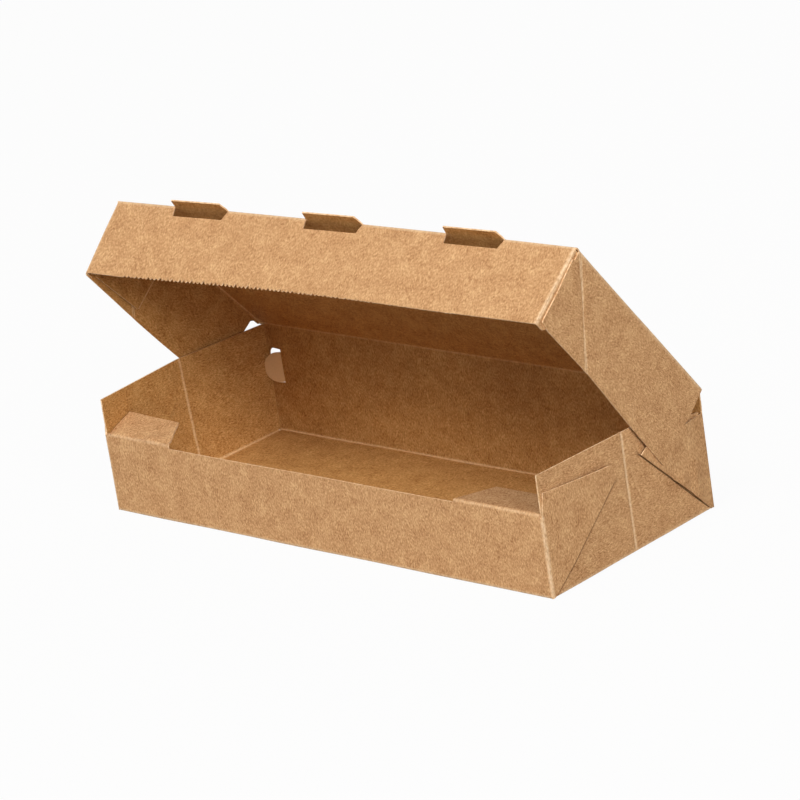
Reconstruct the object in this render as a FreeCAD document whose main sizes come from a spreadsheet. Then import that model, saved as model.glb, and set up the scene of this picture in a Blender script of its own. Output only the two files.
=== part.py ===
import FreeCAD, Part
import math
import os
import re
import Sketcher

# A hinged takeaway box folded from one sheet of kraft board, standing open.
# X runs along the box, Y from its front to its rear, Z up. The origin is on the table, under
# the middle of the bottom panel. The sheet's hinged areas are sub-parts of their own: the
# tray, the lid and the two ledge tabs at the ends of the low front wall.

SIZES = {
    # the sheet
    "board": 0.5,               # thickness of the board
    "fold_radius": 0.4,         # outside rounding of a fold
    "crease_width": 0.8,        # width of a pressed crease line
    "crease_depth": 0.12,       # depth of a pressed crease line
    # the tray
    "length": 200.0,            # outside, over the glued flaps
    "depth": 82.0,              # outside, front face to rear face
    "wall_height": 41.0,        # side and rear walls
    "front_height": 27.8,       # low front wall
    "side_crease": 42.0,        # upright crease of a side wall, from the front face
    "corner_slit": 0.7,         # gap between a side wall and the rear wall
    # the flap that folds from each end of the front wall onto the side wall
    "front_flap_reach": 37.0,
    "front_flap_head": 35.4,    # its height at the fold
    "front_flap_tip": 32.9,     # its height at the tip
    "front_flap_lead": 1.6,     # its upper end starts this far behind the front face
    "front_flap_drop": 4.3,     # from the tip down to the slanting edge
    # the flap that folds from each end of the rear wall onto the side wall
    "rear_flap_reach": 33.0,
    "rear_flap_head": 33.4,
    "rear_flap_drop": 2.6,
    "flap_round": 2.4,          # rounding of the flaps' tips
    # the lock tongue punched out beside each rear corner
    "tongue_inset": 7.0,        # its crease, from the outside of the corner
    "tongue_foot": 19.6,        # height of its lower edge
    "tongue_height": 11.2,
    "tongue_reach": 6.0,
    "tongue_round": 4.2,
    "tongue_tilt": 20.0,        # degrees that it leans into the tray
    "tongue_kerf": 0.35,        # gap that the tongue leaves in its hole
    "tongue_root": 0.1,         # what it shares with the wall at its crease
    # the ledge tabs, folded in from the raised ends of the front wall
    "left_tab_root": 31.5,
    "right_tab_root": 37.5,
    "tab_slant": 7.2,           # how far the inner end slants outwards
    "tab_side_gap": 0.5,        # between a tab and the side wall
    "tab_fold_gap": 0.3,        # between a tab and the front wall, at the fold
    "left_tab_rise": 15.5,      # degrees above level
    "right_tab_rise": 1.0,
    # the lid
    "lid_angle": 50.8,          # degrees open, from lying flat on the tray
    "lid_gap": 0.4,             # all round between the closed lid and the tray
    "lid_wall": 28.7,           # height of its front and side walls, outside
    "lid_edge_lead": 2.3,       # the side wall's front edge, behind the front corner
    "lid_rear_lead": 0.3,       # the side wall's rear edge, in front of the hinge line
    "lid_flap_reach": 26.6,     # flap of the front wall, glued inside the side wall
    "lid_flap_inset": 1.4,      # its lower edge, above the wall's lower edge
    "lid_flap_taper": 1.1,      # how much more it rises towards its rear end
    "diagonal_run": 29.5,       # slanting crease of the side wall, along its lower edge
    "relief_reach": 4.6,        # cut beside the left end of the hinge
    "relief_drop": 8.0,
    # the three tongues left standing along the lid's front fold
    "notch_width": 24.0,
    "notch_depth": 3.8,
    "notch_pitch": 61.5,
    "notch_shift": -1.6,        # of the whole row, off the middle of the lid
    "notch_draw": 1.0,          # how much narrower a tongue's end is than its root
    "notch_round": 0.8,
}
NOTCH_COUNT = 3
EDGE_MATCH = 1e-4               # how near an edge lies to the fold that it is picked by

doc = FreeCAD.newDocument("takeaway_box")
sheet = doc.addObject("Spreadsheet::Sheet", "Sizes")
for row, (alias, number) in enumerate(SIZES.items(), start=1):
    sheet.set("A%d" % row, alias)
    sheet.set("B%d" % row, str(number))
    sheet.setAlias("B%d" % row, alias)
doc.recompute()


def sized(expression):
    """The expression with every size's name pointing at the sheet."""
    return re.sub("[a-z_]+", lambda word: "Sizes." + word.group(), expression)


def number(expression):
    """What an expression over the sizes comes to now."""
    return float(sheet.evalExpression(expression))


def bind(target, path, expression):
    target.setExpression(path, sized(expression))


def new_body(name):
    body = doc.addObject("PartDesign::Body", name)
    body.Label = name
    return body


def new_sketch(body, name, role, offset="0"):
    """A sketch on one of the body's own origin planes, moved along its normal."""
    sketch = body.newObject("Sketcher::SketchObject", name)
    plane = next(p for p in body.Origin.OriginFeatures if p.Role == role)
    sketch.AttachmentSupport = [(plane, "")]
    sketch.MapMode = "FlatFace"
    if offset != "0":
        bind(sketch, "AttachmentOffset.Base.z", offset)
    return sketch


def fix_point(sketch, geometry, point, x, y):
    """Ties a point of the sketch to expressions for its place."""
    for kind, axis, expression in (("DistanceX", -2, x), ("DistanceY", -1, y)):
        if expression == "0":
            sketch.addConstraint(Sketcher.Constraint("PointOnObject", geometry, point, axis))
            continue
        index = sketch.addConstraint(
            Sketcher.Constraint(kind, -1, 1, geometry, point, number(expression)))
        bind(sketch, "Constraints[%d]" % index, expression)


def draw_outline(sketch, corners):
    """A closed outline. A corner is (x, y) or, where it is rounded, (x, y, radius)."""
    spots = [FreeCAD.Vector(number(c[0]), number(c[1]), 0) for c in corners]
    radii = [number(c[2]) if len(c) == 3 else 0.0 for c in corners]
    count = len(corners)
    starts, ends = [], []
    for i, spot in enumerate(spots):
        back = (spots[i - 1] - spot).normalize()
        ahead = (spots[(i + 1) % count] - spot).normalize()
        trim = radii[i] / math.tan(back.getAngle(ahead) / 2) if radii[i] else 0.0
        ends.append(spot + back * trim)
        starts.append(spot + ahead * trim)
    lines = [sketch.addGeometry(Part.LineSegment(starts[i], ends[(i + 1) % count]))
             for i in range(count)]
    for i, corner in enumerate(corners):
        before, after = lines[i - 1], lines[i]
        if not radii[i]:
            sketch.addConstraint(Sketcher.Constraint("Coincident", before, 2, after, 1))
            fix_point(sketch, after, 1, corner[0], corner[1])
            continue
        chord = starts[i] - ends[i]
        inward = (spots[i] - (starts[i] + ends[i]) * 0.5).normalize()
        sagitta = radii[i] - math.sqrt(radii[i] ** 2 - (chord.Length / 2) ** 2)
        middle = (starts[i] + ends[i]) * 0.5 + inward * sagitta
        arc = sketch.addGeometry(Part.Arc(ends[i], middle, starts[i]))
        shape = sketch.Geometry[arc]
        first = 1 if shape.StartPoint.distanceToPoint(ends[i]) < 1e-6 else 2
        sketch.addConstraint(Sketcher.Constraint("Tangent", before, 2, arc, first))
        sketch.addConstraint(Sketcher.Constraint("Tangent", arc, 3 - first, after, 1))
        radius = sketch.addConstraint(Sketcher.Constraint("Radius", arc, radii[i]))
        bind(sketch, "Constraints[%d]" % radius, corner[2])
        tip = sketch.addGeometry(Part.Point(spots[i]), True)
        sketch.addConstraint(Sketcher.Constraint("PointOnObject", tip, 1, before))
        sketch.addConstraint(Sketcher.Constraint("PointOnObject", tip, 1, after))
        fix_point(sketch, tip, 1, corner[0], corner[1])


def new_pad(body, sketch, name, thickness="board", towards_normal=True):
    pad = body.newObject("PartDesign::Pad", name)
    pad.Profile = sketch
    bind(pad, "Length", thickness)
    pad.Reversed = not towards_normal
    sketch.Visibility = False
    return pad


def new_pocket(body, sketch, name, cut_depth, towards_normal):
    pocket = body.newObject("PartDesign::Pocket", name)
    pocket.Profile = sketch
    bind(pocket, "Length", cut_depth)
    pocket.Reversed = towards_normal
    return pocket


def mirror(body, name, features):
    """The features again on the other end of the box."""
    copies = body.newObject("PartDesign::Mirrored", name)
    copies.Originals = features
    plane = next(p for p in body.Origin.OriginFeatures if p.Role == "YZ_Plane")
    copies.MirrorPlane = (plane, [""])
    body.Tip = copies
    return copies


def round_folds(body, name, folds):
    """Rounds outside edges. A fold is the axis it is parallel to and a point that it passes
    through, without signs, so that one fold stands for both ends of the box."""
    doc.recompute()
    carrier = body.Tip
    names = []
    for i, edge in enumerate(carrier.Shape.Edges, start=1):
        ends = [v.Point for v in edge.Vertexes]
        if len(ends) != 2:
            continue
        for axis, place in folds:
            others = [k for k in range(3) if k != axis]
            off = max(abs(abs(end[k]) - place[k]) for end in ends for k in others)
            if off < EDGE_MATCH and abs(ends[0][axis] - ends[1][axis]) > EDGE_MATCH:
                names.append("Edge%d" % i)
    fillet = body.newObject("PartDesign::Fillet", name)
    fillet.Base = (carrier, names)
    bind(fillet, "Radius", "fold_radius")
    body.Tip = fillet
    return fillet


def build_tray():
    """Bottom, four walls, the flaps that hold the corners and the rear lock tongues."""
    body = new_body("tray")
    inner_half = "length / 2 - board"

    bottom = new_sketch(body, "bottom_outline", "XY_Plane")
    draw_outline(bottom, [
        ("-length / 2 + board", "-depth / 2 + board"), (inner_half, "-depth / 2 + board"),
        (inner_half, "depth / 2 - board"), ("-length / 2 + board", "depth / 2 - board")])
    new_pad(body, bottom, "bottom_panel")

    side = new_sketch(body, "side_outline", "YZ_Plane", "length / 2 - 2 * board")
    draw_outline(side, [
        ("-depth / 2 + board", "0"), ("depth / 2 - board - corner_slit", "0"),
        ("depth / 2 - board - corner_slit", "wall_height"),
        ("-depth / 2 + board", "wall_height")])
    mirror(body, "side_walls", [new_pad(body, side, "side_wall")])
    half_length, half_depth = number("length / 2"), number("depth / 2")
    round_folds(body, "side_folds", [(1, (number(inner_half), 0, 0))])

    # the front wall runs on to the outside of the flaps that fold from its ends
    front = new_sketch(body, "front_outline", "XZ_Plane", "depth / 2")
    draw_outline(front, [
        ("-length / 2", "0"), ("length / 2", "0"),
        ("length / 2", "front_height"), ("-length / 2", "front_height")])
    new_pad(body, front, "front_wall", towards_normal=False)

    rear = new_sketch(body, "rear_outline", "XZ_Plane", "-depth / 2")
    draw_outline(rear, [
        ("-length / 2", "0"), ("length / 2", "0"),
        ("length / 2", "wall_height"), ("-length / 2", "wall_height")])
    new_pad(body, rear, "rear_wall")

    front_flap = new_sketch(body, "front_flap_outline", "YZ_Plane", inner_half)
    draw_outline(front_flap, [
        ("-depth / 2", "board"),
        ("-depth / 2 + front_flap_reach", "front_flap_tip - front_flap_drop"),
        ("-depth / 2 + front_flap_reach", "front_flap_tip", "flap_round"),
        ("-depth / 2 + front_flap_lead", "front_flap_head"),
        ("-depth / 2", "front_height")])
    front_glue_flap = new_pad(body, front_flap, "front_glue_flap")

    rear_flap = new_sketch(body, "rear_flap_outline", "YZ_Plane", inner_half)
    draw_outline(rear_flap, [
        ("depth / 2", "board"), ("depth / 2", "rear_flap_head"),
        ("depth / 2 - rear_flap_reach", "rear_flap_head", "flap_round"),
        ("depth / 2 - rear_flap_reach", "rear_flap_head - rear_flap_drop")])
    rear_lock_flap = new_pad(body, rear_flap, "rear_lock_flap")

    # the upright crease lets the side wall fold inwards when the box is packed flat
    crease = new_sketch(body, "side_crease_outline", "YZ_Plane", inner_half)
    draw_outline(crease, [
        ("-depth / 2 + side_crease - crease_width / 2", "0"),
        ("-depth / 2 + side_crease + crease_width / 2", "0"),
        ("-depth / 2 + side_crease + crease_width / 2", "wall_height"),
        ("-depth / 2 + side_crease - crease_width / 2", "wall_height")])
    side_fold = new_pocket(body, crease, "side_crease_line", "crease_depth", False)

    hole = new_sketch(body, "tongue_hole_outline", "XZ_Plane", "-depth / 2")
    hole_end = "length / 2 - tongue_inset + tongue_reach + tongue_kerf"
    hole_top = "tongue_foot + tongue_height + tongue_kerf"
    draw_outline(hole, [
        ("length / 2 - tongue_inset", "tongue_foot - tongue_kerf"),
        (hole_end, "tongue_foot - tongue_kerf", "tongue_round"),
        (hole_end, hole_top, "tongue_round"),
        ("length / 2 - tongue_inset", hole_top)])
    tongue_hole = new_pocket(body, hole, "tongue_hole", "board", True)

    # the tongue turns on its crease, on the inside face of the rear wall
    tongue = new_sketch(body, "lock_tongue_outline", "XZ_Plane")
    bind(tongue, "AttachmentOffset.Base.x", "length / 2 - tongue_inset")
    bind(tongue, "AttachmentOffset.Base.z", "-depth / 2 + board")
    offset = tongue.AttachmentOffset
    offset.Rotation = FreeCAD.Rotation(FreeCAD.Vector(0, 1, 0), -number("tongue_tilt"))
    tongue.AttachmentOffset = offset
    bind(tongue, "AttachmentOffset.Rotation.Angle", "-tongue_tilt")
    draw_outline(tongue, [
        ("-tongue_root", "tongue_foot"),
        ("tongue_reach", "tongue_foot", "tongue_round"),
        ("tongue_reach", "tongue_foot + tongue_height", "tongue_round"),
        ("-tongue_root", "tongue_foot + tongue_height")])
    lock_tongue = new_pad(body, tongue, "lock_tongue", towards_normal=False)

    mirror(body, "other_end", [front_glue_flap, rear_lock_flap, side_fold, tongue_hole,
                               lock_tongue])
    round_folds(body, "bottom_folds_and_corners", [
        (0, (0, half_depth, 0)),
        (2, (half_length, half_depth, 0))])
    return body


def build_lid():
    """The lid lying closed with the inside of its hinge line at its own origin, then opened."""
    body = new_body("lid")
    reach = "depth + lid_gap"
    half = "length / 2 + lid_gap + 2 * board"
    wall_foot = "board - lid_wall"

    panel = new_sketch(body, "panel_outline", "XY_Plane")
    draw_outline(panel, [
        ("-length / 2 - lid_gap - 2 * board", "-depth - lid_gap"), (half, "-depth - lid_gap"),
        (half, "0"), ("-length / 2 - lid_gap - 2 * board", "0")])
    new_pad(body, panel, "top_panel")

    side = new_sketch(body, "lid_side_outline", "YZ_Plane", "length / 2 + lid_gap + board")
    draw_outline(side, [
        ("-depth - lid_gap + lid_edge_lead", wall_foot), ("-lid_rear_lead", wall_foot),
        ("-lid_rear_lead", "board"), ("-depth - lid_gap + lid_edge_lead", "board")])
    mirror(body, "lid_side_walls", [new_pad(body, side, "lid_side_wall")])
    round_folds(body, "lid_side_folds", [(1, (number(half), 0, number("board")))])

    front = new_sketch(body, "lid_front_outline", "XZ_Plane", reach)
    draw_outline(front, [
        ("-length / 2 - lid_gap - board", wall_foot), ("length / 2 + lid_gap + board", wall_foot),
        ("length / 2 + lid_gap + board", "board"), ("-length / 2 - lid_gap - board", "board")])
    new_pad(body, front, "lid_front_wall", towards_normal=False)

    flap = new_sketch(body, "lid_flap_outline", "YZ_Plane", "length / 2 + lid_gap")
    draw_outline(flap, [
        ("-depth - lid_gap", "board - lid_wall + lid_flap_inset"),
        ("-depth - lid_gap + lid_flap_reach",
         "board - lid_wall + lid_flap_inset + lid_flap_taper"),
        ("-depth - lid_gap + lid_flap_reach", "0"),
        ("-depth - lid_gap", "0")])
    glue_flap = new_pad(body, flap, "lid_glue_flap")

    # the slanting crease of the side wall, where the lid folds when it is packed flat
    crease = new_sketch(body, "diagonal_outline", "YZ_Plane", half)
    draw_outline(crease, [
        ("-depth - lid_gap + lid_edge_lead", "-crease_width"),
        ("-depth - lid_gap + lid_edge_lead", "0"),
        ("-depth - lid_gap + diagonal_run + crease_width", wall_foot),
        ("-depth - lid_gap + diagonal_run", wall_foot)])
    slanting_fold = new_pocket(body, crease, "diagonal_crease_line", "crease_depth", False)

    mirror(body, "other_end_of_lid", [glue_flap, slanting_fold])
    round_folds(body, "lid_corners", [
        (2, (number("length / 2 + lid_gap + board"), number(reach), 0)),
        (0, (0, number(reach), number("board")))])

    relief = new_sketch(body, "relief_outline", "YZ_Plane", "-length / 2 - lid_gap - 2 * board")
    draw_outline(relief, [
        ("-relief_reach", "0"), ("0", "0"), ("0", "-relief_drop"), ("-relief_reach", "-relief_drop")])
    new_pocket(body, relief, "hinge_relief", "board", True)

    # the front fold is cut through three times, and the panel's edge stands out there
    slot = new_sketch(body, "notch_outline", "XZ_Plane", reach)
    draw_outline(slot, [
        ("notch_shift - notch_pitch - notch_width / 2", "-notch_depth"),
        ("notch_shift - notch_pitch + notch_width / 2", "-notch_depth"),
        ("notch_shift - notch_pitch + notch_width / 2", "0"),
        ("notch_shift - notch_pitch - notch_width / 2", "0")])
    notch = new_pocket(body, slot, "notch", "board", False)

    stub = new_sketch(body, "fold_tongue_outline", "XY_Plane")
    draw_outline(stub, [
        ("notch_shift - notch_pitch - notch_width / 2", "-depth - lid_gap + fold_radius"),
        ("notch_shift - notch_pitch - notch_width / 2 + notch_draw", "-depth - lid_gap - notch_depth",
         "notch_round"),
        ("notch_shift - notch_pitch + notch_width / 2 - notch_draw", "-depth - lid_gap - notch_depth",
         "notch_round"),
        ("notch_shift - notch_pitch + notch_width / 2", "-depth - lid_gap + fold_radius")])
    fold_tongue = new_pad(body, stub, "fold_tongue")

    row = body.newObject("PartDesign::LinearPattern", "notch_row")
    row.Originals = [notch, fold_tongue]
    axis = next(a for a in body.Origin.OriginFeatures if a.Role == "X_Axis")
    row.Direction = (axis, [""])
    row.Mode = "Extent"
    bind(row, "Length", "2 * notch_pitch")
    row.Occurrences = NOTCH_COUNT
    body.Tip = row

    body.Placement = FreeCAD.Placement(
        FreeCAD.Vector(0, number("depth / 2 - board"), number("wall_height + lid_gap")),
        FreeCAD.Rotation(FreeCAD.Vector(-1, 0, 0), number("lid_angle")))
    bind(body, "Placement.Base.y", "depth / 2 - board")
    bind(body, "Placement.Base.z", "wall_height + lid_gap")
    bind(body, "Placement.Rotation.Angle", "lid_angle")
    return body


def build_ledge_tab(name, end, root, rise):
    """One raised end of the front wall, folded in. Upright, it is as high as the side wall."""
    body = new_body(name)
    outline = new_sketch(body, name + "_outline", "XY_Plane")
    tab_reach = "wall_height - front_height - tab_fold_gap"
    outer = "length / 2 - 2 * board - tab_side_gap"
    sign = "" if end > 0 else "-1 * "
    corners = [
        (sign + "( " + outer + " )", "0"),
        (sign + "( length / 2 - " + root + " )", "0"),
        (sign + "( length / 2 - " + root + " + tab_slant )", tab_reach),
        (sign + "( " + outer + " - 2 * board )", tab_reach)]
    draw_outline(outline, corners)
    new_pad(body, outline, name + "_sheet")
    body.Placement = FreeCAD.Placement(
        FreeCAD.Vector(0, number("board - depth / 2"), number("front_height + tab_fold_gap")),
        FreeCAD.Rotation(FreeCAD.Vector(1, 0, 0), number(rise)))
    bind(body, "Placement.Base.y", "board - depth / 2")
    bind(body, "Placement.Base.z", "front_height + tab_fold_gap")
    bind(body, "Placement.Rotation.Angle", rise)
    return body


sub_parts = [
    build_tray(),
    build_lid(),
    build_ledge_tab("ledge_tab_left", -1, "left_tab_root", "left_tab_rise"),
    build_ledge_tab("ledge_tab_right", 1, "right_tab_root", "right_tab_rise"),
]
doc.recompute()

for item in doc.Objects:
    if "Invalid" in item.State or "Error" in item.State:
        raise RuntimeError("%s failed to build: %s" % (item.Label, item.State))

os.makedirs("parts", exist_ok=True)
for sub_part in sub_parts:
    solid = sub_part.Shape
    if solid.isNull() or not solid.isValid() or len(solid.Solids) != 1:
        raise RuntimeError("%s has no valid single solid" % sub_part.Label)
    solid.exportStep("parts/%s.step" % sub_part.Label)
    box = solid.BoundBox
    print("%s: %.2f cm3, x %.1f to %.1f, y %.1f to %.1f, z %.1f to %.1f" % (
        sub_part.Label, solid.Volume / 1000, box.XMin, box.XMax, box.YMin, box.YMax,
        box.ZMin, box.ZMax))
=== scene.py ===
import math

import bmesh
import bpy
import numpy as np
from mathutils import Matrix, Vector
from mathutils.geometry import delaunay_2d_cdt

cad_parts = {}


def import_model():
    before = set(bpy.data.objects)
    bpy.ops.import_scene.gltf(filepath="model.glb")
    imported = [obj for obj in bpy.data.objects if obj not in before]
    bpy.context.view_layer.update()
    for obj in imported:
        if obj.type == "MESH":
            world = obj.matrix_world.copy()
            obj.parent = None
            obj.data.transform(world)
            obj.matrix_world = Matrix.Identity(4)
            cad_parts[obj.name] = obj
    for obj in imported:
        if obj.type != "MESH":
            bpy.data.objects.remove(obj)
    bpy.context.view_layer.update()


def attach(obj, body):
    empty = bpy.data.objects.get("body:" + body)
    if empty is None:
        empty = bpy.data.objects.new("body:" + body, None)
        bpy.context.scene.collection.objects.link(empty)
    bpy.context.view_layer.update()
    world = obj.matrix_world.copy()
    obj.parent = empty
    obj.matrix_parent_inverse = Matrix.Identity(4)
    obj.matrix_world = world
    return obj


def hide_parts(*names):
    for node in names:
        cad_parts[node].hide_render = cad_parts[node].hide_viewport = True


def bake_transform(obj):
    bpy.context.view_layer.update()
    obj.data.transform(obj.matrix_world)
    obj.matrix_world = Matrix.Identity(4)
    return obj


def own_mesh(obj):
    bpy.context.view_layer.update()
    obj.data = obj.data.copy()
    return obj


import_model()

# Lengths are millimetres in the sheet's own areas and turn to metres as each mesh is made.
MM = 0.001
BOARD = 0.5
HALF = BOARD / 2

# The mesh of the sheet: the triangles' size, how near other points its grid may come as a share of that,
# and the lengths and areas that count as nothing.
STEP = 1.9
GRID_GAP = 0.62
ROUND_OFF = 1e-6
SAME_POINT = 1e-5
LEAST_AREA = 1e-4
LINE_END = 0.01
WELD = 0.02
ARC_STEPS = 5
SHARP_ANGLE = math.radians(38)

# The mid-planes of the folded walls, half a board inside their outer faces.
FRONT, REAR = -40.75, 40.75
SIDE, FLAP = 99.25, 99.75
FLOOR = HALF
WALL_TOP = 41.0
REAR_TOP = 40.6
REAR_FLAP_TOP = 33.3
FRONT_LEFT_TOP, FRONT_RIGHT_TOP = 28.3, 27.6
TAB_STRIP = 26.9
TAB_FOLD = 28.35
TAB_DEPTH = 13.15
SIDE_CREASE = 1
LENGTH = 200

# The lock tongues that are punched out of the rear wall.
TONGUE_ROOT, TONGUE_LENGTH = 93, 6.6
TONGUE_LOW, TONGUE_HIGH, TONGUE_ROUND = 19.6, 30.8, 4.6
TONGUE_LEAN = math.radians(28)

# The lid stands at this angle on its hinge, its areas drawn flat about the hinge line.
HINGE_Y, HINGE_Z = 40.5, 41.4
LID_ANGLE = math.radians(50.8)
LID_FRONT, LID_BACK = -82.15, -0.6
LID_CORNER = -80.1
LID_SIDE, LID_FLAP = 101.15, 100.65
LID_LEFT_LOW, LID_RIGHT_LOW = -28.2, -28.3
# The sheet is twisted: the lid's left end stands lower, and follows the hinge by a smaller share.
# Its right end stands proud of the solid's angle, by this much.
TWIST_START, TWIST_END = -1711.0, 101.4
RIGHT_LIFT = math.radians(1.4)

# The three tongues left standing along the lid's front fold: left, lower right and apex.
TONGUE_MARKS = ((-75.0, -51.7, -50.4), (-14.8, 9.7, 10.8), (47.0, 70.7, 71.9))

# A fold's angle and radius, and how worn it is where that isn't 1. The wear reaches a little past the bend.
LONG_FOLD = (90, 0.6)
CORNER_FOLD = (90, 0.5)
FRESH_FOLD = (90, 0.5, 0.1)
TAB_RADIUS, TAB_WEAR = 0.5, 0.45
WEAR_REACH = 0.7

# The half width and the depth of each crease, of the painted highlight along the left lid flap's edge, and
# of the dents under the flaps' edges, which are painted dark as the gaps' shadow.
WALL_CREASE, LID_CREASE = (0.9, 0.18), (0.45, 0.12)
TONGUE_CREASE, FLAP_EDGE_HIGHLIGHT = (0.8, 0), (0.5, 0)
SLANT_GAP_SHADOW, HEM_GAP_SHADOW = (0.75, 0.1), (0.48, 0.1)

# The warp of this one box: its left wall bulges, and the lid's left wall flares out over it.
LEFT_WALL = -98.0
BULGE, BULGE_RISE = 3.9, 0.4
FLARE, FLARE_LOSS, FLARE_GROWTH = 2.9, 1.6, 1.5
FLARE_START, FLARE_LENGTH = 55, 46
LID_DEPTH, LID_HEIGHT = 82, 28

# Roughly where the areas lie on the flat sheet, for the grain.
FRONT_ROW, REAR_ROW, HINGE_ROW, LID_END_ROW, LID_ROW, LID_FRONT_ROW = 40, 50, 90, 120, 170, 255
SIDE_COLUMN, FLAP_COLUMN, LID_END_COLUMN = 30, 40, 35


def ease(value, length):
    """Rises from 0 to 1 as the value goes from 0 to the length."""
    return np.clip(value / length, 0, 1)


def rounded(corners):
    """A closed path through corners (u, v), or (u, v, radius) where the corner is an arc."""
    path = []
    for before, corner, after in zip(corners[-1:] + corners[:-1], corners, corners[1:] + corners[:1]):
        if len(corner) < 3:
            path.append(corner)
            continue
        at = Vector(corner[:2])
        back = (Vector(before[:2]) - at).normalized()
        ahead = (Vector(after[:2]) - at).normalized()
        half = back.angle(ahead) / 2
        centre = at + (back + ahead).normalized() * corner[2] / math.sin(half)
        first = at + back * corner[2] / math.tan(half) - centre
        last = at + ahead * corner[2] / math.tan(half) - centre
        for i in range(ARC_STEPS + 1):
            spoke = (first * (1 - i / ARC_STEPS) + last * i / ARC_STEPS).normalized() * corner[2]
            path.append(tuple(centre + spoke))
    return path


def spaced(path, closed):
    """Points along a path, a mesh step apart at most."""
    points = []
    for a, b in zip(path, path[1:] + path[:1] if closed else path[1:]):
        count = max(1, math.ceil(math.dist(a, b) / STEP - ROUND_OFF))
        points += [tuple(np.array(a) + (np.array(b) - np.array(a)) * i / count) for i in range(count)]
    return points if closed else points + [path[-1]]


def inside(points, path):
    """Which of the points lie within a closed path."""
    u, v = points[:, 0], points[:, 1]
    within = np.zeros(len(points), bool)
    for (au, av), (bu, bv) in zip(path, path[1:] + path[:1]):
        if av != bv:
            within ^= ((av > v) != (bv > v)) & (u < (bu - au) * (v - av) / (bv - av) + au)
    return within


def beside(line, gap):
    """The line's copy at a gap to its left."""
    a, b = Vector(line[0]), Vector(line[1])
    left = Vector((a.y - b.y, b.x - a.x)).normalized() * gap
    return [tuple(a + left), tuple(b + left)]


def mirrored(outline):
    """The outline seen from its other side, still anticlockwise."""
    return [(-corner[0], *corner[1:]) for corner in reversed(outline)]


def triangulated(outline, holes, rows):
    """Points and triangles that fill an outline, with rows of points along the given lines."""
    points, edges = [], []
    loops = [outline, *holes]
    for path, closed in [(loop, True) for loop in loops] + [(row, False) for row in rows]:
        chain = spaced(path, closed)
        first = len(points)
        points += chain
        edges += [(first + i, first + i + 1) for i in range(len(chain) - 1)]
        if closed:
            edges.append((len(points) - 1, first))
    low, high = np.min(outline, 0), np.max(outline, 0)
    rise = STEP * math.sqrt(3) / 2
    grid = np.array([
        (low[0] + (i + (j % 2) / 2) * STEP, low[1] + j * rise)
        for j in range(int((high[1] - low[1]) / rise) + 1)
        for i in range(int((high[0] - low[0]) / STEP) + 1)
    ])
    chains = np.array(points)
    gaps = np.array([np.min(np.hypot(*(chains - p).T)) for p in grid])
    keep = inside(grid, outline) & (gaps > GRID_GAP * STEP)
    for hole in holes:
        keep &= ~inside(grid, hole)
    everything = [Vector(p) for p in points] + [Vector(p) for p in grid[keep]]
    found, _, faces, *_ = delaunay_2d_cdt(everything, edges, [], 0, SAME_POINT)
    found, faces = np.array(found), np.array(faces)
    a, b, c = found[faces].transpose(1, 0, 2)
    centres = (a + b + c) / 3
    area = (b - a)[:, 0] * (c - a)[:, 1] - (b - a)[:, 1] * (c - a)[:, 0]
    keep = inside(centres, outline) & (area > LEAST_AREA)
    for hole in holes:
        keep &= ~inside(centres, hole)
    return found, faces[keep]


def off_line(points, a, b):
    """Each point's gap to the line's left, whether it is level with the line, and the way to its left."""
    along = Vector(b) - Vector(a)
    length = along.length
    along = np.array(along.normalized())
    left = np.array((-along[1], along[0]))
    run = (points - a) @ along
    level = (run > -LINE_END) & (run < length + LINE_END)
    return (points - a) @ left, level, left


def folded_area(outline, place, folds=(), creases=(), grooves_painted_dark=(), holes=(), blank=(0, 0, 0), bow=None,
                bruise_and_painted_light=0.0):
    """One area of the sheet as mesh data. A fold is (from, to, angle, radius, wear) along the outline,
    a crease (pale) or a groove (painted dark, as painted shadow) is (from, to, half width, depth). blank is
    the area's turn and place on the flat sheet, for the grain, bow its lift off the plane, and the last
    argument how pale the whole area is painted, as a painted highlight, or how dark where it is negative,
    as painted shade."""
    rows, bands = [], []
    for a, b, angle, radius, *wear in folds:
        reach = radius * math.tan(math.radians(angle) / 2)
        rows += [beside((a, b), gap) for gap in (reach / 3, reach * 2 / 3, reach, reach + WEAR_REACH)]
        bands.append((a, b, math.radians(angle) / 2, radius, reach, wear[0] if wear else 1.0))
    for a, b, width, _ in (*creases, *grooves_painted_dark):
        rows += [beside((a, b), gap) for gap in (-width, -width / 2, 0, width / 2, width)]
    flat, faces = triangulated(outline, holes, rows)
    moved, lift, pale = flat.copy(), np.zeros(len(flat)), np.full(len(flat), bruise_and_painted_light)
    for a, b, half, radius, reach, wear in bands:
        gap, level, inward = off_line(flat, a, b)
        bend = level & (gap < reach)
        turn = (1 - gap[bend] / reach) * half
        moved[bend] += np.outer(reach - radius * np.sin(turn) - gap[bend], inward)
        lift[bend] -= radius * (1 - np.cos(turn))
        worn = level & (gap < reach + WEAR_REACH)
        shown = wear * np.clip(1 - gap[worn] / (reach + WEAR_REACH), 0, 1)
        pale[worn] = np.maximum(pale[worn], shown)
    # Creases are pale; grooves are painted dark by negative pale, as painted shadow.
    for lines, is_crease in ((creases, True), (grooves_painted_dark, False)):
        for a, b, width, depth in lines:
            gap, level, _ = off_line(flat, a, b)
            share = np.where(level, np.clip(1 - abs(gap) / width, 0, 1), 0)
            lift -= depth * share
            pale = np.maximum(pale, share) if is_crease else np.where(share > 0, -share, pale)
    if bow:
        lift += bow(flat[:, 0], flat[:, 1])
    local = np.column_stack([moved, lift, np.ones(len(flat))])
    points = (local @ np.array(place).T)[:, :3]
    angle, across, down = math.radians(blank[0]), blank[1], blank[2]
    turned = np.array(((math.cos(angle), math.sin(angle)), (-math.sin(angle), math.cos(angle))))
    return points, faces, pale, flat @ turned + (across, down)


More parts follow.
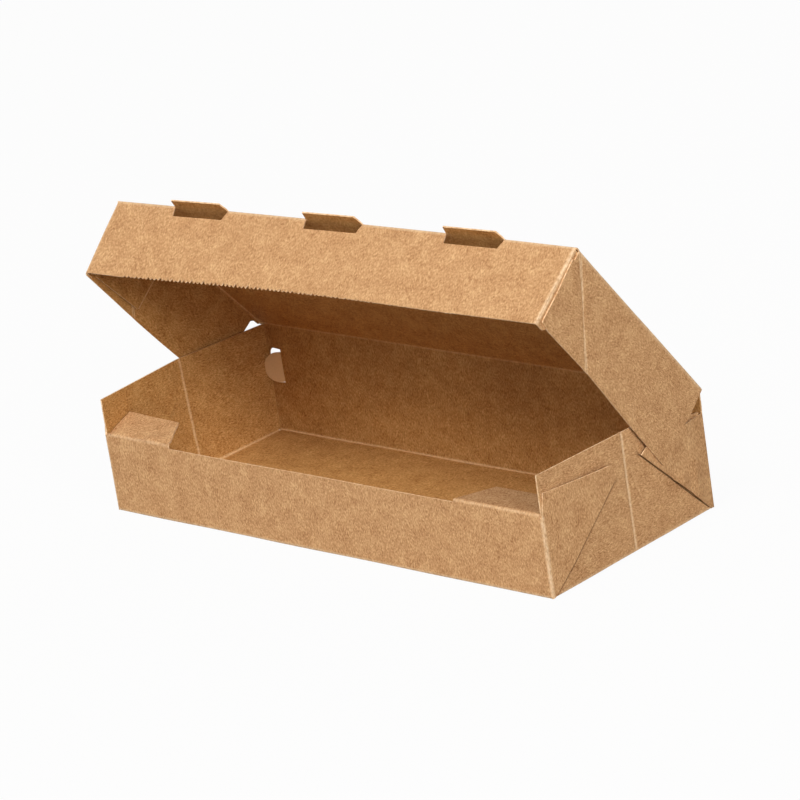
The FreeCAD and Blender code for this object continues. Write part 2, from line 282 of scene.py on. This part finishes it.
def plane(origin, u, v):
    """The place of an area: its origin and the directions of u and v. Its outer face looks along u x v."""
    u, v = Vector(u), Vector(v)
    return Matrix((*zip(u, v, u.cross(v), origin), (0, 0, 0, 1)))


def upright(origin):
    """The place of an area that stands up and looks to the front."""
    return plane(origin, (1, 0, 0), (0, 0, 1))


def end_plane(end, x):
    """The place of an area that stands up at the box's right (1) or left (-1) end."""
    return plane((end * x, 0, 0), (0, end, 0), (0, 0, 1))


def board_piece(name, areas, shape):
    """The areas joined into one sheet, shaped, and given the board's thickness and skins."""
    bm = bmesh.new()
    pale_layer = bm.verts.layers.float.new("pale")
    grain_layer = bm.loops.layers.uv.new("grain")
    for points, faces, pale, grain in areas:
        made = [bm.verts.new(p) for p in points]
        for vert, value in zip(made, pale):
            vert[pale_layer] = value
        for corners in faces:
            face = bm.faces.new([made[i] for i in corners])
            face.smooth = True
            for loop, i in zip(face.loops, corners):
                loop[grain_layer].uv = grain[i]
    bmesh.ops.remove_doubles(bm, verts=bm.verts, dist=WELD)
    mesh = bpy.data.meshes.new(name)
    bm.to_mesh(mesh)
    bm.free()
    drawn = np.zeros(len(mesh.vertices) * 3)
    mesh.vertices.foreach_get("co", drawn)
    mesh.vertices.foreach_set("co", (shape(drawn.reshape(-1, 3)) * MM).ravel())
    obj = bpy.data.objects.new(name, mesh)
    bpy.context.scene.collection.objects.link(obj)
    for material in (OUTSIDE, INSIDE, CUT_EDGE):
        mesh.materials.append(material)
    skin = obj.modifiers.new("board", "SOLIDIFY")
    skin.thickness = BOARD * MM
    skin.offset = 0
    skin.material_offset = 1
    skin.material_offset_rim = 2
    solid = obj.evaluated_get(bpy.context.evaluated_depsgraph_get())
    thick = bpy.data.meshes.new_from_object(solid)
    obj.modifiers.clear()
    obj.data = thick
    thick.set_sharp_from_angle(angle=SHARP_ANGLE)
    return obj


def linear(hex_colour):
    """An sRGB hex colour as linear RGBA."""
    channels = [int(hex_colour[i:i + 2], 16) / 255 for i in (1, 3, 5)]
    return (*((c / 12.92 if c <= 0.04045 else ((c + 0.055) / 1.055) ** 2.4) for c in channels), 1)


def add(tree, kind, inputs=None, **settings):
    """Adds a shader node: values go on its sockets, and other nodes' sockets are linked to them."""
    node = tree.nodes.new("ShaderNode" + kind)
    for name, value in settings.items():
        setattr(node, name, value)
    for socket, value in (inputs or {}).items():
        if isinstance(value, bpy.types.NodeSocket):
            tree.links.new(value, node.inputs[socket])
        else:
            node.inputs[socket].default_value = value
    return node


def blank_material(name):
    """A new material with its Principled shader ready to link."""
    material = bpy.data.materials.new(name)
    material.use_nodes = True
    return material, material.node_tree, material.node_tree.nodes["Principled BSDF"]


def fibre_felt(tree, grain):
    """Bundles of fibres lying three ways across each other, mostly along the grain."""
    wander = add(tree, "TexNoise", {"Vector": grain, "Scale": 0.12, "Detail": 1.0})
    middle = {0: wander.outputs["Color"], 1: (0.5, 0.5, 0.5)}
    bent = add(tree, "VectorMath", middle, operation="SUBTRACT")
    bent = add(tree, "VectorMath", {0: bent.outputs[0], "Scale": 3.0}, operation="SCALE")
    bent = add(tree, "VectorMath", {0: grain, 1: bent.outputs[0]}, operation="ADD").outputs[0]
    strokes = []
    # Single fibres are too fine to show at this size, so the bundles are about 0.3 mm across.
    for turn, width, length in ((0.22, 0.3, 1.1), (-0.5, 0.27, 0.8), (0.95, 0.34, 0.9)):
        size = (1 / width, 1 / length, 1)
        lay = add(tree, "Mapping", {"Vector": bent, "Rotation": (0, 0, turn), "Scale": size})
        stroke = {"Vector": lay.outputs[0], "Scale": 1.0, "Detail": 2.5, "Roughness": 0.6}
        strokes.append(add(tree, "TexNoise", stroke).outputs[0])
    felt = add(tree, "Math", {0: strokes[0], 1: strokes[1]}, operation="ADD")
    felt = add(tree, "Math", {0: felt.outputs[0], 1: strokes[2]}, operation="ADD")
    return add(tree, "Math", {0: felt.outputs[0], 1: 0.3333}, operation="MULTIPLY").outputs[0]


def kraft_board(name, dark, middle, light, bruise_and_painted_light, roughness, painted_gap_shadow=None):
    """Unbleached kraft board: matt, felted from short fibres, with soft clouds where the pulp is thicker,
    a paler bruise where it is creased, the same pale used for painted highlights, and painted shadow where
    an edge lies close over it."""
    material, tree, skin = blank_material(name)
    grain = add(tree, "UVMap", uv_map="grain").outputs["UV"]
    felt = fibre_felt(tree, grain)
    cloud = add(tree, "TexNoise", {"Vector": grain, "Scale": 0.16, "Detail": 4.0, "Roughness": 0.65})
    fleck = add(tree, "TexNoise", {"Vector": grain, "Scale": 1.1, "Detail": 1.0, "Roughness": 0.5})
    tone = add(tree, "Math", {0: felt, 1: 0.62, 2: 0.07}, operation="MULTIPLY_ADD").outputs[0]
    for layer, share in ((cloud, 0.14), (fleck, 0.1)):
        mixed = {0: layer.outputs[0], 1: share, 2: tone}
        tone = add(tree, "Math", mixed, operation="MULTIPLY_ADD").outputs[0]
    ramp = add(tree, "ValToRGB", {"Fac": tone})
    stops = ramp.color_ramp.elements
    stops[0].position, stops[0].color = 0.41, linear(dark)
    stops[1].position, stops[1].color = 0.59, linear(light)
    stops.new(0.5).color = linear(middle)

    # The pale of creases and folds, and the painted highlights that share it, are patchy: a torn noise
    # holds them back here and there.
    pale = add(tree, "Attribute", attribute_name="pale").outputs["Fac"]
    torn = add(tree, "TexNoise", {"Vector": grain, "Scale": 0.9, "Detail": 3.0})
    patches = {"Value": torn.outputs[0], "From Min": 0.3, "From Max": 0.62, "To Min": 0.35, "To Max": 1.0}
    worn = add(tree, "MapRange", patches)
    worn = add(tree, "Math", {0: pale, 1: worn.outputs[0]}, operation="MULTIPLY")
    spread = {"Value": worn.outputs[0], "From Min": 0.1, "From Max": 0.9, "To Max": 0.85}
    worn = add(tree, "MapRange", spread).outputs[0]
    shades = {"Factor": worn, "A": ramp.outputs[0], "B": linear(bruise_and_painted_light)}
    colour = add(tree, "Mix", shades, data_type="RGBA").outputs["Result"]
    # Where pale is negative, the skin is darkened towards the shadow colour: painted shadow of the gap
    # under a flap's edge.
    if painted_gap_shadow:
        hidden = {"Value": pale, "From Min": 0.0, "From Max": -1.0, "To Max": 0.9}
        painted_shadow_share = add(tree, "MapRange", hidden).outputs[0]
        shades = {"Factor": painted_shadow_share, "A": colour, "B": linear(painted_gap_shadow)}
        colour = add(tree, "Mix", shades, data_type="RGBA").outputs["Result"]
    tree.links.new(colour, skin.inputs["Base Color"])
    relief = add(tree, "Bump", {"Height": felt, "Strength": 0.42, "Distance": 0.00012})
    tree.links.new(relief.outputs[0], skin.inputs["Normal"])
    skin.inputs["Roughness"].default_value = roughness
    skin.inputs["Specular IOR Level"].default_value = 0.25
    return material


def cut_edge():
    """The board's cut edge: raw, paler fibre than its skins, in thin layers, with no sheen."""
    material, tree, skin = blank_material("kraft_cut_edge")
    place = add(tree, "TexCoord").outputs["Object"]
    layers = add(tree, "TexNoise", {"Vector": place, "Scale": 900.0, "Detail": 3.0, "Roughness": 0.6})
    ramp = add(tree, "ValToRGB", {"Fac": layers.outputs[0]})
    stops = ramp.color_ramp.elements
    stops[0].position, stops[0].color = 0.35, linear("#CC9E70")
    stops[1].position, stops[1].color = 0.62, linear("#F0CEA4")
    tree.links.new(ramp.outputs[0], skin.inputs["Base Color"])
    relief = add(tree, "Bump", {"Height": layers.outputs[0], "Strength": 0.4, "Distance": 0.0001})
    tree.links.new(relief.outputs[0], skin.inputs["Normal"])
    skin.inputs["Roughness"].default_value = 0.9
    skin.inputs["Specular IOR Level"].default_value = 0.2
    return material


def ripple(u, v, wave, height):
    """A soft unevenness of a panel, of a given wave length and height."""
    a = np.sin(u * 6.283 / wave + 1.3 * np.sin(v * 4.1 / wave)) * np.cos(v * 5.2 / wave + 0.7)
    b = np.sin((u * 0.6 - v) * 9.1 / wave + 2.1)
    return height * (0.65 * a + 0.35 * b)


def tray_shape(p):
    """The tray's own warp: the left wall is bent outwards at its crease."""
    x, y, z = p.T
    tall = ease(z, WALL_TOP) ** BULGE_RISE
    before, behind = (y - FRONT) / (SIDE_CREASE - FRONT), (REAR - y) / (REAR - SIDE_CREASE)
    bent = np.clip(np.minimum(before, behind), 0, 1)
    bulge = np.where(x < LEFT_WALL, BULGE * tall * bent, 0)
    return np.column_stack([x - bulge, y, z])


def lid_turn(x):
    """How far the lid stands open along X, in radians."""
    share = ease(x - TWIST_START, TWIST_END - TWIST_START)
    return LID_ANGLE * share * share * (3 - 2 * share) + RIGHT_LIFT * (x + LENGTH / 2) / LENGTH


def lid_shape(p):
    """The lid's warp, with its left wall pushed out by the tray, and its turn about the hinge."""
    x, y, z = p.T
    far, low = np.clip(-y / LID_DEPTH, 0, 1.05), np.clip(-z / LID_HEIGHT, 0, 1.05)
    high_flare = FLARE * far ** FLARE_GROWTH
    low_flare = FLARE * np.clip(-y / 15, 0.3, 1) - FLARE_LOSS * ease(-y - 35, 47)
    grown = ease(-x - FLARE_START, FLARE_LENGTH) ** FLARE_GROWTH
    flare = grown * (high_flare * (1 - low) + low_flare * low)
    angle = lid_turn(x)
    return np.column_stack([
        x - flare,
        HINGE_Y + y * np.cos(angle) + z * np.sin(angle),
        HINGE_Z - y * np.sin(angle) + z * np.cos(angle),
    ])


def as_drawn(p):
    """No warp."""
    return p


def bottom_area():
    """The bottom panel, folded up on all four sides."""
    outline = [(-SIDE, -REAR), (SIDE, -REAR), (SIDE, -39.8), (SIDE, 40.5), (SIDE, -FRONT),
               (-SIDE, -FRONT), (-SIDE, 40.5), (-SIDE, -39.8)]
    folds = [(outline[i], outline[i + 1], *LONG_FOLD) for i in (0, 4, 2, 6)]
    return folded_area(
        outline, plane((0, 0, FLOOR), (1, 0, 0), (0, -1, 0)), folds=folds, blank=(180, 0, 0),
        bow=lambda u, v: ripple(u, v, wave=60, height=0.12))


def front_area():
    """The low front wall, its top edge dipping where the ledge tabs' strips are let in."""
    top = [(FLAP, FRONT_RIGHT_TOP), (99.0, FRONT_RIGHT_TOP), (98.6, TAB_STRIP), (62.4, TAB_STRIP),
           (62.0, 27.5), (0, 27.35), (-52, 27.1), (-68.0, 27.1), (-68.4, TAB_STRIP),
           (-98.6, TAB_STRIP), (-99.0, FRONT_LEFT_TOP), (-FLAP, FRONT_LEFT_TOP)]
    wall = [(-FLAP, FLOOR), (-SIDE, FLOOR), (SIDE, FLOOR), (FLAP, FLOOR), *top]
    folds = [(wall[1], wall[2], *LONG_FOLD), (wall[3], wall[4], *CORNER_FOLD),
             (wall[-1], wall[0], *CORNER_FOLD)]
    return folded_area(
        wall, upright((0, FRONT, 0)), folds=folds, blank=(0, 0, FRONT_ROW),
        bow=lambda u, v: ripple(u, v, wave=70, height=0.12) * ease(v, 12))


def rear_area():
    """The rear wall, with the hole that each lock tongue leaves."""
    hole = rounded([(TONGUE_ROOT, 19.25), (98, 18.9, 2.2), (99.3, 24.5, 2.5), (98.2, 32.3, 2.2),
                    (TONGUE_ROOT, 31.9)])
    wall = [(-FLAP, FLOOR), (-SIDE, FLOOR), (SIDE, FLOOR), (FLAP, FLOOR), (FLAP, REAR_FLAP_TOP),
            (FLAP, REAR_TOP), (-FLAP, REAR_TOP), (-FLAP, REAR_FLAP_TOP)]
    folds = [(wall[1], wall[2], *LONG_FOLD), (wall[3], wall[4], *FRESH_FOLD),
             (wall[7], wall[0], *FRESH_FOLD)]
    return folded_area(
        wall, plane((0, REAR, 0), (-1, 0, 0), (0, 0, 1)), holes=[hole, mirrored(hole)], folds=folds,
        blank=(0, 0, REAR_ROW),
        bow=lambda u, v: ripple(u, v, wave=80, height=0.15) * ease(39 - v, 12) * ease(v, 12))


def tongue_area(end):
    """The lock tongue at one end, bent in from the rear wall, and painted paler all over as a painted
    highlight.
    """
    tongue = rounded([(0, TONGUE_LOW), (TONGUE_LENGTH, TONGUE_LOW, TONGUE_ROUND),
                      (TONGUE_LENGTH, TONGUE_HIGH, TONGUE_ROUND), (0, TONGUE_HIGH)])
    outwards = (-math.cos(TONGUE_LEAN), end * math.sin(TONGUE_LEAN), 0)
    return folded_area(
        tongue if end < 0 else mirrored(tongue),
        plane((end * TONGUE_ROOT, REAR, 0), outwards, (0, 0, 1)),
        # The whole tongue is painted pale, a painted highlight that makes it lighter than the wall.
        creases=[((0, TONGUE_LOW), (0, TONGUE_HIGH), *TONGUE_CREASE)], blank=(0, 0, REAR_ROW), bruise_and_painted_light=2.2)


def side_wall_area(end):
    """The tray's side wall at one end, with its crease, and dents under the flaps' edges painted dark as
    the gaps' shadow.
    """
    wall = [(-40.5, FLOOR), (39.2, FLOOR), (39.2, 33.0), (40.2, 33.8), (40.2, WALL_TOP),
            (SIDE_CREASE, WALL_TOP), (-40.5, WALL_TOP)]
    if end > 0:
        # The corner beside the hinge is cut away here, and the front corner stands a little proud.
        wall = [(-40.5, FLOOR), (39.2, FLOOR), (39.2, 34.0), (31.0, 35.2), (37.6, WALL_TOP),
                (SIDE_CREASE, WALL_TOP), (-40.5, WALL_TOP + 0.7)]
    base = [wall[0], wall[1]]
    crease = [(SIDE_CREASE, 0.6), (SIDE_CREASE, WALL_TOP)]
    # Where the flaps' slanting edges lie over the wall, it is dented and painted dark: painted shadow of
    # the gap.
    slant = [[(-38.8, 0.6), (-28.7, 7.5)], [(-28.7, 7.5), (-18.0, 16.2)], [(-18.0, 16.2), (-5.4, 26.2)]]
    hem = [[(8.1, 30.8), (21.4, 17.9)], [(21.4, 17.9), (31.0, 8.4)], [(31.0, 8.4), (38.4, 1.4)]]
    if end < 0:
        wall, base, crease = mirrored(wall), mirrored(base), mirrored(crease)
        slant, hem = [mirrored(line) for line in slant], [mirrored(line) for line in hem]
    return folded_area(
        wall, end_plane(end, SIDE), folds=[(*base, *CORNER_FOLD)], creases=[(*crease, *WALL_CREASE)],
        grooves_painted_dark=[(*line, *SLANT_GAP_SHADOW) for line in slant] + [(*line, *HEM_GAP_SHADOW) for line in hem],
        blank=(90, end * SIDE_COLUMN, 0),
        bow=lambda u, v: ripple(u, v, wave=50, height=0.1) * ease(v, 10))


def glue_flap_area(end):
    """The front wall's glue flap at one end, cut off slantwise and springing off the wall at its tip."""
    flap = [(FRONT, FLOOR), (-39.6, 0.6), (-29.4, 8.3), (-18.9, 17.3), (-6.6, 27.6), (-4.6, 29.3, 0.8),
            (-8.2, 33.3, 2.0), (-39.1, 35.4), (FRONT, FRONT_RIGHT_TOP if end > 0 else FRONT_LEFT_TOP)]
    fold = [flap[-1], flap[0]]
    if end < 0:
        flap, fold = mirrored(flap), mirrored(fold)

    def lift(u, v):
        """The flap's spring: a slow rise, and a quick one along its upper edge."""
        return 1.0 * ease(40 - abs(u), 26) + 0.4 * ease(v - 24, 10) * ease(40 - abs(u), 9)

    return folded_area(
        rounded(flap), end_plane(end, FLAP), folds=[(*fold, *CORNER_FOLD)],
        blank=(0, end * FLAP_COLUMN, 0), bow=lift)


def locked_flap_area(end):
    """The rear wall's flap at one end, cut off slantwise, with a wavy hem."""
    flap = [(REAR, FLOOR), (REAR, REAR_FLAP_TOP), (11.6, 32.7), (8.1, 30.8), (21.4, 17.9), (22.2, 16.8),
            (30.4, 9.3), (31.0, 8.4), (38.9, 0.9)]
    fold = [flap[0], flap[1]]
    if end < 0:
        flap, fold = mirrored(flap), mirrored(fold)

    def lift(u, v):
        """The flap stands a little off the wall, and waves further off it along its low hem."""
        hem = (0.6 + 0.3 * np.sin(u * 0.8)) * ease(21 - v, 5)
        return ease(40.4 - abs(u), 9) * (0.7 + hem)

    return folded_area(
        rounded(flap), end_plane(end, FLAP), folds=[(*fold, *FRESH_FOLD)],
        blank=(0, end * FLAP_COLUMN, 0), bow=lift)


def lid_spans():
    """The stretches of the lid's front fold between the tongues."""
    starts = [-LID_SIDE] + [apex for _, _, apex in TONGUE_MARKS]
    ends = [left for left, _, _ in TONGUE_MARKS] + [LID_SIDE]
    return list(zip(starts, ends))


def lid_top_area():
    """The lid's top panel, its three tongues standing on past the front fold."""
    edge = []
    for left, low_right, apex in TONGUE_MARKS:
        edge += [(left, LID_FRONT), (left + 1.2, LID_FRONT - 4.0), (low_right, LID_FRONT - 4.4),
                 (apex, LID_FRONT)]
    outline = [(-LID_SIDE, LID_FRONT), *edge, (LID_SIDE, LID_FRONT), (LID_SIDE, LID_CORNER),
               (LID_SIDE, LID_BACK), (-LID_SIDE, LID_BACK), (-LID_SIDE, LID_CORNER)]
    folds = [((a, LID_FRONT), (b, LID_FRONT), *LONG_FOLD) for a, b in lid_spans()]
    folds += [((LID_SIDE, LID_CORNER), (LID_SIDE, LID_BACK), *LONG_FOLD),
              ((-LID_SIDE, LID_BACK), (-LID_SIDE, LID_CORNER), *LONG_FOLD)]
    return folded_area(
        outline, plane((0, 0, HALF), (1, 0, 0), (0, 1, 0)), folds=folds, blank=(0, 0, LID_ROW),
        bow=lambda u, v: ripple(u, v, wave=75, height=0.18) * ease(LID_DEPTH + v, 12) * ease(-v, 10))


def serrated(left, right):
    """The saw-toothed lower edge of the lid's front wall, its teeth longest left of the middle."""
    teeth = []
    pitch = 1.85
    count = int((right - left) / pitch)
    for i in range(count):
        u = left + (right - left) * (i + 0.5) / count
        low = -28.15 + 0.35 * np.cos(u / 26)
        tall = (1.4 * math.exp(-((u + 40) / 46) ** 2) + 0.25) * (0.85 + 0.35 * math.sin(i * 2.3))
        teeth += [(u, low), (u + 0.62, low + 0.75 * tall), (u + 1.05, low + 0.55 * tall)]
    return teeth


def lid_front_area():
    """The lid's front wall, with a slot where each tongue was cut from it."""
    slots = []
    for left, low_right, apex in reversed(TONGUE_MARKS):
        slots += [(apex, HALF), (low_right, -3.5), (left + 0.8, -3.7, 0.5), (left, HALF)]
    left_edge = [(-LID_FLAP, HALF), (-LID_FLAP, LID_LEFT_LOW)]
    right_edge = [(LID_FLAP, LID_RIGHT_LOW), (LID_FLAP, HALF)]
    wall = [left_edge[1], *serrated(-84, 66), *right_edge, *slots, left_edge[0]]
    folds = [((min(b, LID_FLAP), HALF), (max(a, -LID_FLAP), HALF), *LONG_FOLD) for a, b in lid_spans()]
    folds += [(*right_edge, *CORNER_FOLD), (*left_edge, *CORNER_FOLD)]
    return folded_area(
        rounded(wall), upright((0, LID_FRONT, 0)), folds=folds, blank=(0, 0, LID_FRONT_ROW),
        bow=lambda u, v: ripple(u, v, wave=65, height=0.15) * ease(-v, 10))


def lid_side_area(end):
    """The lid's side wall at one end, with its slanting double crease and the relief by the hinge."""
    if end > 0:
        nicks = [(-0.5 + 0.5 * (i % 2), -28.2 + i * 1.8) for i in range(10)]
        wall = [(-80.4, HALF), (-80.4, -3.2), (-81.3, -3.6), (-81.3, -5.6), (-80.7, -15.5),
                (-80.6, -26.5, 0.8), (-76.2, -27.2), (-51.4, -27.1), (-25.8, -28.3), (-0.9, -29.3),
                *nicks, (0.3, -10.2), (-0.3, -2), (-0.3, HALF)]
        crease_foot = -27.0
    else:
        wall = [(-80.4, HALF), (-80.7, -5.6), (-80.5, -15.5), (-81.5, -28.6, 0.8), (-59, -29.1),
                (-50, -29.3), (-26, -29.3), (-0.5, -28.8), (-0.5, -8.2), (-4.9, -7.0), (-4.4, -2.2),
                (-3.0, -1.2), (-0.3, -1.1), (-0.3, HALF)]
        crease_foot = -28.9
    wall = wall[::-1]
    fold = [wall[0], wall[-1]]
    creases = [[(-80.7, 0.1), (-52.1, crease_foot)], [(-79.3, 0.1), (-53.3, crease_foot)]]
    if end < 0:
        wall, fold, creases = mirrored(wall), mirrored(fold), [mirrored(line) for line in creases]
    return folded_area(
        rounded(wall), end_plane(end, LID_SIDE), folds=[(*fold, *LONG_FOLD)],
        creases=[(*line, *LID_CREASE) for line in creases],
        blank=(90, end * LID_END_COLUMN, LID_END_ROW),
        bow=lambda u, v: ripple(u, v, wave=45, height=0.1) * ease(-v, 8))


def left_flap_bow(u, v):
    """The left glue flap bows inwards, further and further away from the front fold."""
    return -0.9 * ease(81 - abs(u), 22)


def lid_flap_area(end):
    """The glue flap inside the lid's side wall at one end. The left one is longer, bows inwards, and has a
    pale line of no depth along its rear edge, a painted highlight.
    """
    low = LID_RIGHT_LOW if end > 0 else LID_LEFT_LOW
    tip, root = (-56, -55.7) if end > 0 else (-53.5, -53.2)
    flap = [(LID_FRONT, low), (-78.6, LID_RIGHT_LOW), (-77.4, -27.0), (tip, -26.4, 0.8), (root, -0.4),
            (LID_FRONT + 0.6, -0.4), (LID_FRONT, HALF)]
    fold = [flap[-1], flap[0]]
    creases, bow = [], None
    if end < 0:
        flap, fold = mirrored(flap), mirrored(fold)
        # The left flap's pale line along its rear edge is a painted highlight.
        creases, bow = [((53.7, -26.0), (53.4, -0.6), *FLAP_EDGE_HIGHLIGHT)], left_flap_bow
    return folded_area(
        rounded(flap), end_plane(end, LID_FLAP), folds=[(*fold, *CORNER_FOLD)], creases=creases,
        blank=(90, end * LID_END_COLUMN, LID_END_ROW), bow=bow)


def tab_areas(root, tip, rise, crumple=None, painted_shade=0.0):
    """A ledge tab and the strip of front wall that it folds over from. root and tip are (left, right), and
    a negative shade darkens the tab all over as painted shade.
    """
    strip = [(root[0], TAB_STRIP), (root[1], TAB_STRIP), (root[1], TAB_FOLD), (root[0], TAB_FOLD)]
    bend = (90 - rise, TAB_RADIUS, TAB_WEAR)
    tilt = math.radians(rise)
    tab = [(root[0], 0), (root[1], 0), (tip[1], TAB_DEPTH), (tip[0], TAB_DEPTH)]
    return [
        folded_area(
            strip, upright((0, FRONT, 0)), folds=[(strip[2], strip[3], *bend)], blank=(0, 0, FRONT_ROW)),
        folded_area(
            tab, plane((0, FRONT, TAB_FOLD), (1, 0, 0), (0, math.cos(tilt), math.sin(tilt))),
            folds=[(tab[0], tab[1], *bend)], blank=(0, 0, FRONT_ROW + TAB_FOLD), bow=crumple,
            bruise_and_painted_light=painted_shade),
    ]


def left_crumple(u, v):
    """The left tab sags towards its inner corner and is crumpled along its root."""
    sag = -1.1 * (v / 13) * ease(u + 99, 24)
    near_root = 0.7 * ease(v, 1.2) * np.exp(-((v - 1.6) / 2.2) ** 2)
    return sag + near_root * np.sin(u * 0.8 + np.sin(u * 0.37) * 2) + 0.1 * np.sin(u * 0.3 + v * 0.5)


def hinge_area():
    """The creased strip of the sheet between the rear wall's top and the lid."""
    left, right, corner_top = -101.6, 99.6, 41.49
    columns = np.linspace(left, right, 101)
    angle = lid_turn(columns)
    steps = 8
    rows = []
    for t in np.linspace(0, 1, steps + 1):
        low = np.array([(REAR, REAR_TOP)] * len(columns))
        corner = np.array([(REAR, corner_top)] * len(columns))
        high = np.column_stack([HINGE_Y + LID_BACK * np.cos(angle) + HALF * np.sin(angle),
                                HINGE_Z - LID_BACK * np.sin(angle) + HALF * np.cos(angle)])
        curve = low * (1 - t) ** 2 + corner * 2 * t * (1 - t) + high * t * t
        rows.append(np.column_stack([columns, curve]))
    points = np.concatenate(rows)
    count = len(columns)
    faces = [(j * count + i, (j + 1) * count + i, (j + 1) * count + i + 1, j * count + i + 1)
             for j in range(steps) for i in range(count - 1)]
    pale = np.repeat(np.sin(np.linspace(0, math.pi, steps + 1)) * 0.6, count)
    grain = np.column_stack([-points[:, 0], HINGE_ROW + np.repeat(np.arange(steps + 1) * 0.2, count)])
    return points, np.array(faces), pale, grain


# The outside is the paler, rougher skin of the board; its last colour is painted shadow for the gaps under
# the flaps' edges.
OUTSIDE = kraft_board(
    "kraft_board_outside", "#93643B", "#C19264", "#E0B785", "#F0D0A8", 0.82, painted_gap_shadow="#4A2F18")
# The inside is pressed smoother, and its darker, browner colours are partly painted shade for the box's
# shadowed inner faces.
INSIDE = kraft_board("kraft_board_inside", "#875424", "#B8854A", "#D8A96C", "#E8C090", 0.7)
# The cut edges show the raw pulp as pale lines around every area.
CUT_EDGE = cut_edge()

tray_areas = [bottom_area(), front_area(), rear_area(), tongue_area(1), tongue_area(-1)]
tray = board_piece("tray_board", tray_areas, tray_shape)
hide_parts("tray")
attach(tray, "tray")

for end, side in ((1, "right"), (-1, "left")):
    end_areas = [side_wall_area(end), glue_flap_area(end), locked_flap_area(end)]
    wall = board_piece("tray_%s_end_board" % side, end_areas, tray_shape)
    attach(wall, "tray")
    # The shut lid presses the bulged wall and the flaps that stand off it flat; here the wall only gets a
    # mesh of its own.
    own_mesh(wall)

lid_areas = [lid_top_area(), lid_front_area()]
for end in (1, -1):
    lid_areas += [lid_side_area(end), lid_flap_area(end)]
lid = board_piece("lid_board", lid_areas, lid_shape)
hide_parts("lid")
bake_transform(lid)

hinge = board_piece("lid_hinge_crease", [hinge_area()], as_drawn)
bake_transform(hinge)

left_areas = tab_areas((-98.6, -68.4), (-99.6, -75.7), 15.5, crumple=left_crumple)
left_tab = board_piece("ledge_tab_left_board", left_areas, as_drawn)
# The right tab is painted darker all over: painted shade, as if the right wall's shadow lay on it.
right_areas = tab_areas((62.4, 98.6), (69.4, 98.2), 1, painted_shade=-0.3)
right_tab = board_piece("ledge_tab_right_board", right_areas, as_drawn)
for tab, node in ((left_tab, "ledge_tab_left"), (right_tab, "ledge_tab_right")):
    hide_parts(node)
    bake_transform(tab)


# The studio's lengths are metres. A lamp is its name, place, width and power in watts.
SKY = 0.04
FLOOR_TONE = "#B8B6B2"
FLOOR_REACH = 4
FLOOR_WHITE = 0.96
LAMPS = (("key", (0.2, -0.97, 1.33), 0.6, 16.6), ("right_front", (1.0, -0.9, 1.0), 0.6, 5.0),
         ("right_low", (1.5, -0.5, 0.6), 0.6, 12.6), ("left", (-0.6, -0.7, 0.5), 0.4, 2.2),
         ("back", (-0.4, 1.4, 0.9), 0.9, 7.0))
LAMP_AIM = Vector((0, 0, 0.05))

# The camera's focal length in millimetres, its place, and its directions to the right, down and ahead.
LENS = 179.94
CAMERA_PLACE = (0.89972, -0.88352, 0.47411)
CAMERA_RIGHT = (0.72959, 0.66846, -0.14444)
CAMERA_DOWN = (0.12223, -0.33526, -0.93416)
CAMERA_AHEAD = (-0.67287, 0.6639, -0.3263)


def world():
    """A sky that the camera sees as white and that lights the box only faintly."""
    sky = bpy.data.worlds.new("studio")
    bpy.context.scene.world = sky
    sky.use_nodes = True
    tree = sky.node_tree
    back = tree.nodes["Background"]
    ray = add(tree, "LightPath")
    rays = {0: ray.outputs["Is Camera Ray"], 1: ray.outputs["Is Glossy Ray"]}
    seen = add(tree, "Math", rays, operation="MAXIMUM")
    level = add(tree, "MapRange", {"Value": seen.outputs[0], "To Min": SKY, "To Max": 1.0})
    tree.links.new(level.outputs[0], back.inputs["Strength"])
    back.inputs["Color"].default_value = (1, 1, 1, 1)


def paper_floor():
    """White paper under the box: matt, and nearly white to the camera, with the box's faint shadow."""
    material, tree, skin = blank_material("white_paper_floor")
    skin.inputs["Base Color"].default_value = linear(FLOOR_TONE)
    skin.inputs["Roughness"].default_value = 0.9
    glow = add(tree, "Emission", {"Color": (1, 1, 1, 1), "Strength": 1.0})
    ray = add(tree, "LightPath")
    white = {0: ray.outputs["Is Camera Ray"], 1: FLOOR_WHITE}
    share = add(tree, "Math", white, operation="MULTIPLY")
    mix = add(tree, "MixShader", {0: share.outputs[0], 1: skin.outputs[0], 2: glow.outputs[0]})
    tree.links.new(mix.outputs[0], tree.nodes["Material Output"].inputs["Surface"])
    corners = [(x * FLOOR_REACH, y * FLOOR_REACH, 0) for x, y in ((-1, -1), (1, -1), (1, 1), (-1, 1))]
    mesh = bpy.data.meshes.new("floor")
    mesh.from_pydata(corners, [], [(0, 1, 2, 3)])
    mesh.materials.append(material)
    floor = bpy.data.objects.new("floor", mesh)
    floor.location.z = -0.0002
    bpy.context.scene.collection.objects.link(floor)


def lamps():
    """Soft round lamps, all turned to the box."""
    for name, place, size, power in LAMPS:
        lamp = bpy.data.lights.new(name, "AREA")
        lamp.shape = "DISK"
        lamp.size = size
        lamp.energy = power
        holder = bpy.data.objects.new(name, lamp)
        holder.location = place
        holder.rotation_euler = (LAMP_AIM - Vector(place)).to_track_quat("-Z", "Y").to_euler()
        bpy.context.scene.collection.objects.link(holder)


def camera():
    """The camera where the photograph was taken."""
    data = bpy.data.cameras.new("camera")
    data.lens = LENS
    data.sensor_width = 36
    data.clip_start = 0.1
    holder = bpy.data.objects.new("camera", data)
    axes = (CAMERA_RIGHT, [-c for c in CAMERA_DOWN], [-c for c in CAMERA_AHEAD])
    holder.matrix_world = Matrix.Translation(CAMERA_PLACE) @ Matrix(axes).transposed().to_4x4()
    bpy.context.scene.collection.objects.link(holder)
    bpy.context.scene.camera = holder


bpy.context.scene.view_settings.view_transform = "Standard"
world()
paper_floor()
lamps()
camera()
